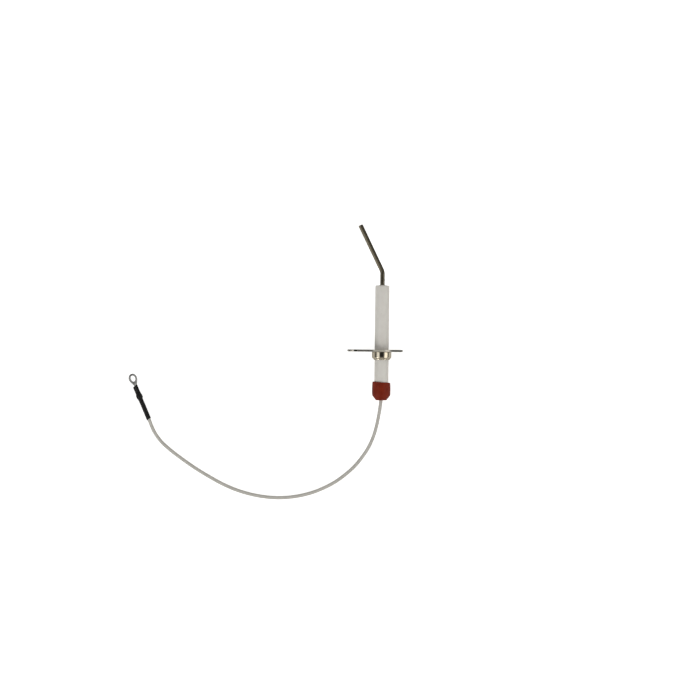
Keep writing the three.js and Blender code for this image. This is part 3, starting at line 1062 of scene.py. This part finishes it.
def add_plate(material):
    """Blanked sheet with rounded corners, a round hole for the collar and a slot open at one long edge."""
    half = PLATE_WIDTH / 2
    left = PLATE_LEFT + PLATE_CORNER
    right = PLATE_RIGHT - PLATE_CORNER
    low = PLATE_CORNER - half
    slot_half = SLOT_WIDTH / 2
    mouth = half - SLOT_MOUTH
    quarter = math.pi / 2
    outline = [
        *arc((right, low), PLATE_CORNER, -quarter, 0, 10),
        *arc((right, -low), PLATE_CORNER, 0, quarter, 10),
        *arc((SLOT_CENTRE + slot_half + SLOT_MOUTH, mouth), SLOT_MOUTH, quarter, math.pi, 4),
        *arc((SLOT_CENTRE, 0), slot_half, 0, -math.pi, 28),
        *arc((SLOT_CENTRE - slot_half - SLOT_MOUTH, mouth), SLOT_MOUTH, 0, quarter, 4),
        *arc((left, -low), PLATE_CORNER, quarter, math.pi, 10),
        *arc((left, low), PLATE_CORNER, math.pi, 3 * quarter, 10),
    ]
    hole = arc((0, 0), PLATE_HOLE_RADIUS, 0, 2 * math.pi, 72)[:-1]
    mesh = flat_part(outline, hole, PLATE_THICKNESS, PLATE_BEVEL)
    stand = Matrix.Translation((0, 0, AXIS_HEIGHT)) @ Matrix.Rotation(quarter, 4, "X")
    mesh.transform(Matrix.Scale(MM, 4) @ stand)
    finish_mesh(mesh)
    return add_piece("plate_blank", mesh, material, "plate", "mounting_plate")


def crimped(angle, radius, y):
    """Tool marks press the collar's lip in, and the metal between them bulges."""
    share = min(1.0, max(0.0, (CRIMP_START - y) / (CRIMP_START - COLLAR_LIP)))
    mark = ((1 + math.cos(CRIMPS * angle)) / 2) ** 2
    clearance = 0.08
    room = max(0.0, radius - CERAMIC_RADIUS - clearance)
    pressed = min(CRIMP_DEPTH * share * mark, room)
    bulge = CRIMP_BULGE * math.sin(math.pi * share) * (1 - mark)
    return radius - pressed + bulge, y


def add_collar(material):
    """The collar: its spigot through the plate, its wall, and the lip that is crimped in to a short rim."""
    inner = CERAMIC_RADIUS + 0.12
    cavity = COLLAR_RADIUS - COLLAR_WALL
    ledge = COLLAR_TOP - COLLAR_WALL
    spigot_end = PLATE_THICKNESS / 2 - 0.04
    section = rounded(
        [
            (inner, COLLAR_LIP, 0.04),
            (COLLAR_RIM_RADIUS, COLLAR_LIP, 0.2),
            (COLLAR_RIM_RADIUS, COLLAR_LIP + COLLAR_RIM, 0.3),
            (COLLAR_RADIUS, COLLAR_SHOULDER - 0.05, 1.3),
            (COLLAR_RADIUS, COLLAR_TOP, 0.25),
            (SPIGOT_RADIUS, COLLAR_TOP, 0.05),
            (SPIGOT_RADIUS, spigot_end, 0.1),
            (inner, spigot_end, 0.1),
            (inner, ledge, 0.05),
            (cavity, ledge, 0.3),
            (cavity, COLLAR_SHOULDER + 0.35, 0.4),
            (inner, COLLAR_LIP + 0.75, 0.1),
        ],
        steps=8,
    )
    section = divided(section, on_wall(COLLAR_RADIUS, 0.4))
    section = divided(section, on_slopes)
    mesh = lathed("crimped_collar", section, 196, crimped)
    return add_piece("crimped_collar", mesh, material, "collar", "clamp_collar")


def add_gasket(material):
    """The packing ring between the ceramic and the collar's wall."""
    gap = 0.06
    inner = CERAMIC_RADIUS + gap
    outer = COLLAR_RADIUS - COLLAR_WALL - gap
    low = CRIMP_START + 0.05
    high = COLLAR_TOP - COLLAR_WALL - gap
    section = rounded([(inner, low, 0.25), (outer, low, 0.35), (outer, high, 0.3), (inner, high, 0.25)])
    mesh = lathed("packing_ring", section, 72)
    return add_piece("packing_ring", mesh, material, "gasket", "clamp_gasket")


def moulded(angle, radius, y):
    """The boot stretches over the ceramic, hangs a little askew, and has a fine parting line on each side."""
    askew = -BOOT_ASKEW * radius * math.sin(angle) * smooth_step(BOOT_CAVITY_END - 1.0, BOOT_OPEN, y)
    inside = radius <= CERAMIC_RADIUS + 0.6
    if inside:
        return radius, y + (askew if radius > CERAMIC_RADIUS else 0)
    belly = 0.07 * hump(y, BOOT_CAVITY_END, 3.5) - 0.12 * hump(y, BOOT_OPEN, 1.6)
    parting = 0.07 * hump(abs(math.sin(angle)), 1.0, 0.0012)
    lump = 0.05 * ripple((5 * math.cos(angle), y, 5 * math.sin(angle)), 4.0, 2.0)
    return radius + belly + parting + lump, y + askew


def add_boot(material):
    """The moulded cap: a seat for the ceramic, a cavity for the splice, and a hole for the lead."""
    seat = CERAMIC_RADIUS + 0.04
    seat_floor = CERAMIC_LOW - 0.1
    hole = LEAD_RADIUS + 0.04
    section = rounded(
        [
            (hole, BOOT_END, 0.3),
            (BOOT_END_RADIUS, BOOT_END, 0.7),
            (BOOT_RADIUS, BOOT_CONE, 3.0),
            (BOOT_RADIUS, BOOT_OPEN, 0.5),
            (seat, BOOT_OPEN, 0.3),
            (seat, seat_floor, 0.2),
            (BOOT_CAVITY_RADIUS, seat_floor, 0.1),
            (BOOT_CAVITY_RADIUS, BOOT_CAVITY_END, 0.3),
            (BOOT_NECK_RADIUS, BOOT_CAVITY_END, 0.3),
            (BOOT_NECK_RADIUS, BOOT_NECK_END, 0.4),
            (hole, BOOT_NECK_END, 0.1),
        ],
        steps=8,
    )
    section = divided(section, on_wall(BOOT_RADIUS, 0.5))
    mesh = lathed("silicone_boot", section, 120, moulded)
    return add_piece("silicone_boot", mesh, material, "silicone", "boot")


def add_washer(material):
    """Push-on washer: a thin dished ring whose inner edge is cut into six prongs that grip the rod."""
    low = CERAMIC_LOW - 0.62
    high = low + WASHER_THICKNESS
    middle = 2.5
    edge = WASHER_RADIUS - 0.1
    section = [
        (WASHER_BORE, low),
        (middle, low + 0.06),
        (edge, low + 0.12),
        (WASHER_RADIUS, (low + high) / 2),
        (edge, high),
        (middle, high),
        (WASHER_BORE, high - 0.1),
    ]

    def pronged(angle, radius, y):
        gap = 0.75 * smooth_step(0.75, 0.9, (1 + math.cos(WASHER_PRONGS * angle)) / 2)
        return radius + (gap if radius == WASHER_BORE else 0.0), y

    mesh = lathed("push_on_washer", section, 144, pronged)
    return add_piece("push_on_washer", mesh, material, "spring_steel", "retaining_washer")


def add_ferrule(material):
    """Splice crimp: a wide bore over the rod, a narrow one over the strands, and a band pressed on each."""
    rod_bore = ROD_RADIUS + 0.05
    step = ROD_LEAD_END - 0.2
    section = rounded(
        [
            (FERRULE_BORE, FERRULE_LOW, 0.1),
            (FERRULE_RADIUS, FERRULE_LOW, 0.35),
            (FERRULE_RADIUS, FERRULE_HIGH, 0.3),
            (rod_bore, FERRULE_HIGH, 0.1),
            (rod_bore, step, 0.05),
            (FERRULE_BORE, step, 0.05),
        ]
    )
    section = divided(section, on_wall(FERRULE_RADIUS, 0.25))

    def pressed(angle, radius, y):
        bands = hump(y, FERRULE_HIGH - 1.0, 0.45) + 1.6 * hump(y, FERRULE_LOW + 1.1, 0.5)
        dent = 0.2 * bands * math.cos(angle) ** 4
        outside = radius > FERRULE_RADIUS - 0.3
        return radius - (dent if outside else 0.0), y

    mesh = lathed("splice_crimp", section, 64, pressed)
    return add_piece("splice_crimp", mesh, material, "tin", "splice_ferrule")


# ---------------------------------------------------------------- studio


def add_floor():
    """A wide sheet, just clear of the probe so that the two never share a plane."""
    reach = 12.0
    clearance = 0.00003
    mesh = bpy.data.meshes.new("floor")
    corners = [(-reach, -reach), (reach, -reach), (reach, reach), (-reach, reach)]
    mesh.from_pydata([(x, y, -clearance) for x, y in corners], [], [(0, 1, 2, 3)])
    mesh.materials.append(floor_finish())
    floor = bpy.data.objects.new("floor", mesh)
    bpy.context.scene.collection.objects.link(floor)


def add_softbox(name, place, size, brightness, colour):
    """A light that faces the probe. Its energy goes with its area, so a larger one is not dimmer."""
    data = bpy.data.lights.new(name, "AREA")
    data.shape = "RECTANGLE"
    data.size, data.size_y = size
    data.energy = brightness * math.pi * size[0] * size[1]
    data.color = colour
    light = bpy.data.objects.new(name, data)
    light.location = place
    light.rotation_euler = (-Vector(place)).to_track_quat("-Z", "Y").to_euler()
    bpy.context.scene.collection.objects.link(light)


def add_world():
    """A pale tent, dark straight overhead where its opening is and dark again near the horizon."""
    world = bpy.data.worlds.new("studio")
    bpy.context.scene.world = world
    world.use_nodes = True
    tree = world.node_tree
    background = tree.nodes["Background"]
    place = tree.nodes.new("ShaderNodeTexCoord")
    split = tree.nodes.new("ShaderNodeSeparateXYZ")
    ramp = tree.nodes.new("ShaderNodeValToRGB")
    tree.links.new(place.outputs["Generated"], split.inputs["Vector"])
    tree.links.new(split.outputs["Z"], ramp.inputs["Fac"])
    tree.links.new(ramp.outputs["Color"], background.inputs["Color"])
    set_stops(ramp, [(height, (grey, grey, grey, 1.0)) for height, grey in TENT_BANDS])


def add_studio():
    """The floor, the tent and the softboxes, with colours shown as they are."""
    add_floor()
    add_world()
    for softbox in SOFTBOXES:
        add_softbox(*softbox)
    bpy.context.scene.view_settings.view_transform = "Standard"


# ---------------------------------------------------------------- assembly

add_camera()
lead, lead_path = add_lead(insulation_finish())
strands = add_conductor(copper_finish())
sleeve = add_sleeve(shrink_finish())
ring = add_terminal(tinned("terminal", (104, 104, 102), (142, 142, 140), 0.26, 0.44))

add_rod(electrode_finish())
add_ceramic(ceramic_finish())
add_cement(cement_finish())
add_plate(plate_finish())
add_collar(collar_finish())
add_gasket(gasket_finish())
add_boot(silicone_finish())
add_washer(tinned("spring_steel", (120, 122, 126), (150, 152, 156), 0.3, 0.45))
add_ferrule(tinned("tin", (168, 168, 166), (196, 196, 194), 0.22, 0.4))
add_studio()
